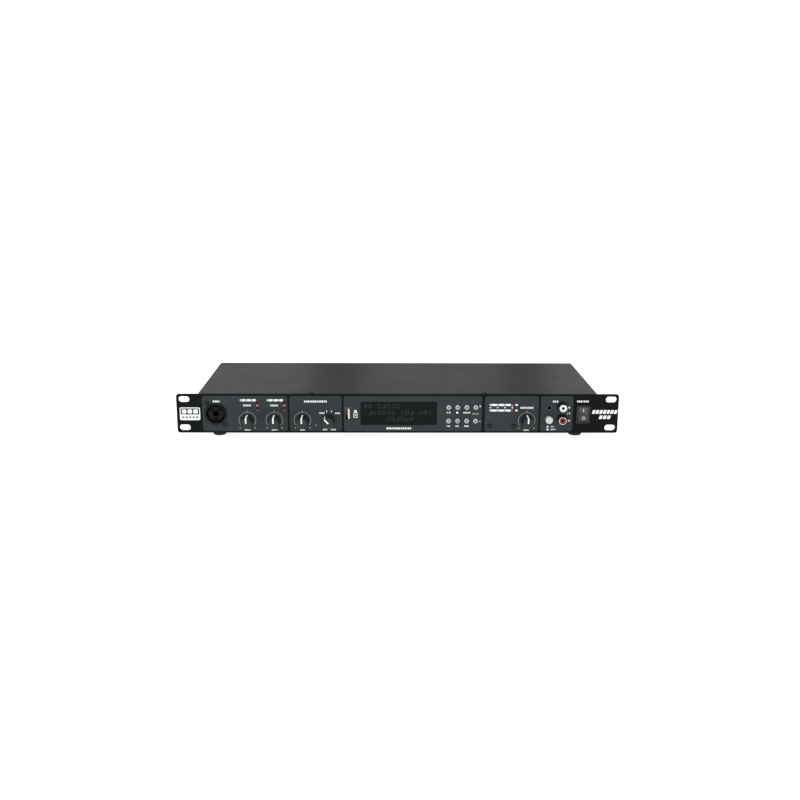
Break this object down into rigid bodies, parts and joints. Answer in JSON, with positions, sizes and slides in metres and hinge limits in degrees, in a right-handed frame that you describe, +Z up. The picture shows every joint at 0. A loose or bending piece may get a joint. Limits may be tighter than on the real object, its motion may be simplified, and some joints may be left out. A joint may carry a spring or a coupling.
{
  "type": "rack mixer",
  "caption": "One-unit rack mixer with microphone and stereo level knobs, media player display and keys, level lights, small jacks, a power rocker and a sheet steel case on rubber feet.",
  "frame": {"origin": "middle of the four rack slots, on the back face of the front panel, which seats on the rack's rails", "axes": "+X to the right seen from the front, +Y to the back, +Z up; the front panel's outer face looks towards -Y"},
  "size_m": [0.482, 0.1933, 0.052],
  "materials": {
    "black_panel": "fine textured satin black powder coat",
    "chassis_paint": "semi-gloss dark grey powder coat",
    "overlay_grey": "matte dark slate grey printed film",
    "foot_rubber": "matte black moulded rubber",
    "zinc_steel": "zinc plated",
    "black_screw": "black oxide",
    "socket_black": "moulded glass-filled nylon",
    "core_black": "moulded nylon",
    "control_case": "tinned steel case",
    "switch_case": "moulded phenolic",
    "nickel": "nickel plated",
    "tongue_white": "white insulator",
    "display_glass": "dark clear acrylic",
    "display_frame": "black frame on green board",
    "board_green": "solder-masked fibreglass board",
    "light_green": "pale green diffused light",
    "light_red": "red diffused light",
    "insert_white": "white moulded insulator",
    "insert_red": "red moulded insulator",
    "brass_pin": "plated contacts",
    "supply_tan": "single-sided board",
    "winding": "varnished tape wrap",
    "wire_grey": "flexible insulation",
    "brass_post": "turned brass",
    "knob_black": "soft satin black with a white pointer",
    "shaft_metal": "turned",
    "button_grey": "pale grey moulded cap",
    "button_white": "white moulded cap",
    "rocker_black": "satin black with pale marks"
  },
  "bodies": {
    "chassis": {"front_panel": "black_panel", "front_bulkhead": "chassis_paint", "base_tray": "chassis_paint", "top_cover": "chassis_paint", "rear_panel": "chassis_paint", "section_overlays": "overlay_grey", "feet": "foot_rubber", "foot_fixings": "zinc_steel", "chassis_screws": "black_screw", "panel_fixings": "zinc_steel", "combo_housings": "socket_black", "combo_cores": "core_black", "connector_screws": "black_screw", "pot_bodies": "control_case", "bushing_nuts": "nickel", "rotary_switch": "switch_case", "usb_shell": "nickel", "usb_tongue": "tongue_white", "display_window": "display_glass", "display_module": "display_frame", "player_boards": "board_green", "switch_bodies": "switch_case", "green_lights": "light_green", "red_lights": "light_red", "mini_jack": "socket_black", "phono_housings": "socket_black", "phono_barrels": "nickel", "phono_inserts_white": "insert_white", "phono_inserts_red": "insert_red", "power_switch_frame": "socket_black", "mains_inlet": "socket_black", "line_sockets": "socket_black", "contact_pins": "brass_pin", "main_board": "board_green", "control_boards": "board_green", "supply_board": "supply_tan", "transformer": "winding", "wiring": "wire_grey", "standoffs": "brass_post", "inner_screws": "zinc_steel"},
    "mic_1_control": {"mic_1_knob": "knob_black", "mic_1_shaft": "shaft_metal"},
    "mic_2_control": {"mic_2_knob": "knob_black", "mic_2_shaft": "shaft_metal"},
    "stereo_control": {"stereo_knob": "knob_black", "stereo_shaft": "shaft_metal"},
    "monitor_control": {"monitor_knob": "knob_black", "monitor_shaft": "shaft_metal"},
    "selector_control": {"selector_knob": "knob_black", "selector_shaft": "shaft_metal"},
    "key_play": {"button_play": "button_grey"},
    "key_stop": {"button_stop": "button_grey"},
    "key_repeat": {"button_repeat": "button_grey"},
    "key_mode": {"button_mode": "button_grey"},
    "key_previous": {"button_previous": "button_grey"},
    "key_next": {"button_next": "button_grey"},
    "key_folder": {"button_folder": "button_grey"},
    "key_menu": {"button_menu": "button_grey"},
    "source_key": {"source_button": "button_white"},
    "rocker": {"power_rocker": "rocker_black"}
  },
  "joints": [
    {"name": "mic_1_turn", "type": "hinge", "parent": "chassis", "child": "mic_1_control", "pos_m": [-0.1644, -0.0035, -0.0075], "axis": [0, 1, 0], "range_deg": [-140, 140]},
    {"name": "mic_2_turn", "type": "hinge", "parent": "chassis", "child": "mic_2_control", "pos_m": [-0.1351, -0.0035, -0.0075], "axis": [0, 1, 0], "range_deg": [-140, 140]},
    {"name": "stereo_turn", "type": "hinge", "parent": "chassis", "child": "stereo_control", "pos_m": [-0.1045, -0.0035, -0.0075], "axis": [0, 1, 0], "range_deg": [-140, 140]},
    {"name": "monitor_turn", "type": "hinge", "parent": "chassis", "child": "monitor_control", "pos_m": [0.1407, -0.0035, -0.0075], "axis": [0, 1, 0], "range_deg": [-140, 140]},
    {"name": "selector_turn", "type": "hinge", "parent": "chassis", "child": "selector_control", "pos_m": [-0.0757, -0.0035, -0.0075], "axis": [0, 1, 0], "range_deg": [0, 90]},
    {"name": "play_press", "type": "slide", "parent": "chassis", "child": "key_play", "axis": [0, 1, 0], "range_m": [0, 0.0005], "stiffness_N_per_m": 800, "springref_m": -0.0005},
    {"name": "stop_press", "type": "slide", "parent": "chassis", "child": "key_stop", "axis": [0, 1, 0], "range_m": [0, 0.0005], "stiffness_N_per_m": 800, "springref_m": -0.0005},
    {"name": "repeat_press", "type": "slide", "parent": "chassis", "child": "key_repeat", "axis": [0, 1, 0], "range_m": [0, 0.0005], "stiffness_N_per_m": 800, "springref_m": -0.0005},
    {"name": "mode_press", "type": "slide", "parent": "chassis", "child": "key_mode", "axis": [0, 1, 0], "range_m": [0, 0.0005], "stiffness_N_per_m": 800, "springref_m": -0.0005},
    {"name": "previous_press", "type": "slide", "parent": "chassis", "child": "key_previous", "axis": [0, 1, 0], "range_m": [0, 0.0005], "stiffness_N_per_m": 800, "springref_m": -0.0005},
    {"name": "next_press", "type": "slide", "parent": "chassis", "child": "key_next", "axis": [0, 1, 0], "range_m": [0, 0.0005], "stiffness_N_per_m": 800, "springref_m": -0.0005},
    {"name": "folder_press", "type": "slide", "parent": "chassis", "child": "key_folder", "axis": [0, 1, 0], "range_m": [0, 0.0005], "stiffness_N_per_m": 800, "springref_m": -0.0005},
    {"name": "menu_press", "type": "slide", "parent": "chassis", "child": "key_menu", "axis": [0, 1, 0], "range_m": [0, 0.0005], "stiffness_N_per_m": 800, "springref_m": -0.0005},
    {"name": "source_press", "type": "slide", "parent": "chassis", "child": "source_key", "axis": [0, 1, 0], "range_m": [0, 0.0025]},
    {"name": "power_rock", "type": "hinge", "parent": "chassis", "child": "rocker", "pos_m": [0.2023, -0.003, -0.0003], "axis": [1, 0, 0], "range_deg": [0, 24]}
  ]
}
